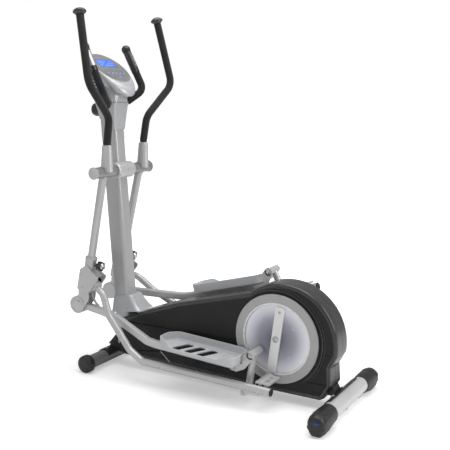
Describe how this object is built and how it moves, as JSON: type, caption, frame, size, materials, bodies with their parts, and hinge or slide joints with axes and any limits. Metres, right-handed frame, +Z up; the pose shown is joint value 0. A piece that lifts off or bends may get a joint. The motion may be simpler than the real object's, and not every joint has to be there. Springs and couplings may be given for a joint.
{
  "type": "elliptical trainer",
  "caption": "Free-standing elliptical trainer with swinging handlebars, pedals on coupled bars, a rear crank drive in a closed housing and a console on a leaning mast",
  "frame": {"origin": "On the floor under the middle of the bounding box at rest", "axes": "+X from the front foot to the rear drive, +Y from the left side to the right side as a person steps on facing the console, +Z up"},
  "size_m": [1.3809, 0.624, 1.6314],
  "materials": {
    "black_steel": "satin black paint",
    "dark_steel": "dark grey paint",
    "silver_steel": "satin silver paint",
    "black_plastic": "fine grained",
    "zinc_steel": "zinc plated",
    "silver_plastic": "satin silver",
    "housing_plastic": "satin charcoal",
    "face_plastic": "smooth grey",
    "display": "lit blue",
    "board": "circuit board",
    "tube_steel": "black paint",
    "foam": "closed-cell foam",
    "belt": "ribbed",
    "disc_plastic": "satin grey",
    "dish": "pale metallic",
    "iron": "turned",
    "cap_plastic": "polished",
    "button": "moulded"
  },
  "bodies": {
    "frame": {"main_frame": "black_steel", "front_stabilizer": "dark_steel", "rear_stabilizer": "silver_steel", "front_caps": "black_plastic", "rear_caps": "black_plastic", "stabilizer_bolts": "zinc_steel", "mast": "silver_steel", "mast_boot": "silver_plastic", "housing_left": "housing_plastic", "housing_right": "housing_plastic", "pivot_shaft": "zinc_steel", "shaft_caps": "silver_plastic", "hub_collars": "silver_plastic", "neck_cover": "silver_plastic", "console_shell": "silver_plastic", "console_faceplate": "face_plastic", "display": "display", "console_board": "board", "fixed_handlebar": "tube_steel", "fixed_grips": "foam", "pulse_sensors": "black_plastic", "crank_bearings": "zinc_steel", "brake_magnet": "black_steel", "drive_belt": "belt"},
    "crank": {"crank_axle": "zinc_steel", "crank_arms": "silver_steel", "drive_pulley": "black_plastic", "disc_left": "disc_plastic", "disc_right": "disc_plastic", "disc_dishes": "dish"},
    "flywheel": {"flywheel": "iron"},
    "idler": {"idler_wheel": "zinc_steel"},
    "lever_left": {"swing_arm_left": "silver_steel", "handle_left": "tube_steel", "grip_left": "foam", "handle_cap_left": "cap_plastic", "lower_bracket_left": "silver_plastic"},
    "knob_left": {"pull_knob_left": "black_plastic"},
    "coupler_left": {"coupler_left": "silver_steel", "crank_pin_left": "zinc_steel"},
    "link_left": {"rear_link_left": "silver_steel"},
    "pedal_left": {"pedal_bar_left": "silver_steel", "pedal_left": "silver_plastic"},
    "lever_right": {"swing_arm_right": "silver_steel", "handle_right": "tube_steel", "grip_right": "foam", "handle_cap_right": "cap_plastic", "lower_bracket_right": "silver_plastic"},
    "knob_right": {"pull_knob_right": "black_plastic"},
    "coupler_right": {"coupler_right": "silver_steel", "crank_pin_right": "zinc_steel"},
    "link_right": {"rear_link_right": "silver_steel"},
    "pedal_right": {"pedal_bar_right": "silver_steel", "pedal_right": "silver_plastic"},
    "button_1": {"button_1": "button"},
    "button_2": {"button_2": "button"},
    "button_3": {"button_3": "button"},
    "button_4": {"button_4": "button"},
    "button_5": {"button_5": "button"},
    "button_6": {"button_6": "button"}
  },
  "joints": [
    {"name": "crank", "type": "hinge", "parent": "frame", "child": "crank", "pos_m": [0.365, 0, 0.273], "axis": [0, -1, 0], "range_deg": [0, 90]},
    {"name": "flywheel_spin", "type": "hinge", "parent": "frame", "child": "flywheel", "pos_m": [-0.165, 0, 0.212], "axis": [0, -1, 0], "range_deg": [-0.5, 630.5]},
    {"name": "idler_spin", "type": "hinge", "parent": "frame", "child": "idler", "pos_m": [0, 0, 0.1465], "axis": [0, -1, 0], "range_deg": [-591.02, 0.5]},
    {"name": "lever_left", "type": "hinge", "parent": "frame", "child": "lever_left", "pos_m": [-0.469, -0.133, 0.93], "axis": [0, -1, 0], "range_deg": [-0.5, 16.32]},
    {"name": "coupler_left", "type": "hinge", "parent": "lever_left", "child": "coupler_left", "pos_m": [-0.537, -0.133, 0.4], "axis": [0, -1, 0], "range_deg": [-6.66, 0.5]},
    {"name": "pedal_bar_left", "type": "hinge", "parent": "lever_left", "child": "pedal_left", "pos_m": [-0.628, -0.133, 0.302], "axis": [0, -1, 0], "range_deg": [-6.22, 0.5]},
    {"name": "rear_link_left", "type": "hinge", "parent": "pedal_left", "child": "link_left", "pos_m": [0.294, -0.112, 0.217], "axis": [0, -1, 0], "range_deg": [-5.25, 0.5]},
    {"name": "pull_knob_left", "type": "slide", "parent": "lever_left", "child": "knob_left", "axis": [1, 0, 0], "range_m": [0, 0.01], "stiffness_N_per_m": 1500},
    {"name": "lever_right", "type": "hinge", "parent": "frame", "child": "lever_right", "pos_m": [-0.469, 0.133, 0.93], "axis": [0, -1, 0], "range_deg": [-19.74, 0.5]},
    {"name": "coupler_right", "type": "hinge", "parent": "lever_right", "child": "coupler_right", "pos_m": [-0.55471, 0.133, 0.40257], "axis": [0, -1, 0], "range_deg": [-0.5, 6.67]},
    {"name": "pedal_bar_right", "type": "hinge", "parent": "lever_right", "child": "pedal_right", "pos_m": [-0.64894, 0.133, 0.30768], "axis": [0, -1, 0], "range_deg": [-0.5, 5.79]},
    {"name": "rear_link_right", "type": "hinge", "parent": "pedal_right", "child": "link_right", "pos_m": [0.25316, 0.122, 0.51632], "axis": [0, -1, 0], "range_deg": [-0.5, 4.06]},
    {"name": "pull_knob_right", "type": "slide", "parent": "lever_right", "child": "knob_right", "axis": [0.9994, 0, -0.0335], "range_m": [0, 0.01], "stiffness_N_per_m": 1500},
    {"name": "press_1", "type": "slide", "parent": "frame", "child": "button_1", "axis": [-0.6157, 0, -0.788], "range_m": [0, 0.0008], "stiffness_N_per_m": 900},
    {"name": "press_2", "type": "slide", "parent": "frame", "child": "button_2", "axis": [-0.6157, 0, -0.788], "range_m": [0, 0.0008], "stiffness_N_per_m": 900},
    {"name": "press_3", "type": "slide", "parent": "frame", "child": "button_3", "axis": [-0.6157, 0, -0.788], "range_m": [0, 0.0008], "stiffness_N_per_m": 900},
    {"name": "press_4", "type": "slide", "parent": "frame", "child": "button_4", "axis": [-0.6157, 0, -0.788], "range_m": [0, 0.0008], "stiffness_N_per_m": 900},
    {"name": "press_5", "type": "slide", "parent": "frame", "child": "button_5", "axis": [-0.6157, 0, -0.788], "range_m": [0, 0.0008], "stiffness_N_per_m": 900},
    {"name": "press_6", "type": "slide", "parent": "frame", "child": "button_6", "axis": [-0.6157, 0, -0.788], "range_m": [0, 0.0008], "stiffness_N_per_m": 900}
  ],
  "couplings": [
    {"joint": "flywheel_spin", "follows": "crank", "ratio": 7},
    {"joint": "idler_spin", "follows": "crank", "ratio": -6.5614},
    {"joint": "lever_left", "follows": "crank", "ratio": 0.17574},
    {"joint": "coupler_left", "follows": "crank", "ratio": -0.068454},
    {"joint": "pedal_bar_left", "follows": "crank", "ratio": -0.063551},
    {"joint": "rear_link_left", "follows": "crank", "ratio": -0.052828},
    {"joint": "lever_right", "follows": "crank", "ratio": -0.21374},
    {"joint": "coupler_right", "follows": "crank", "ratio": 0.068613},
    {"joint": "pedal_bar_right", "follows": "crank", "ratio": 0.058717},
    {"joint": "rear_link_right", "follows": "crank", "ratio": 0.039566}
  ]
}
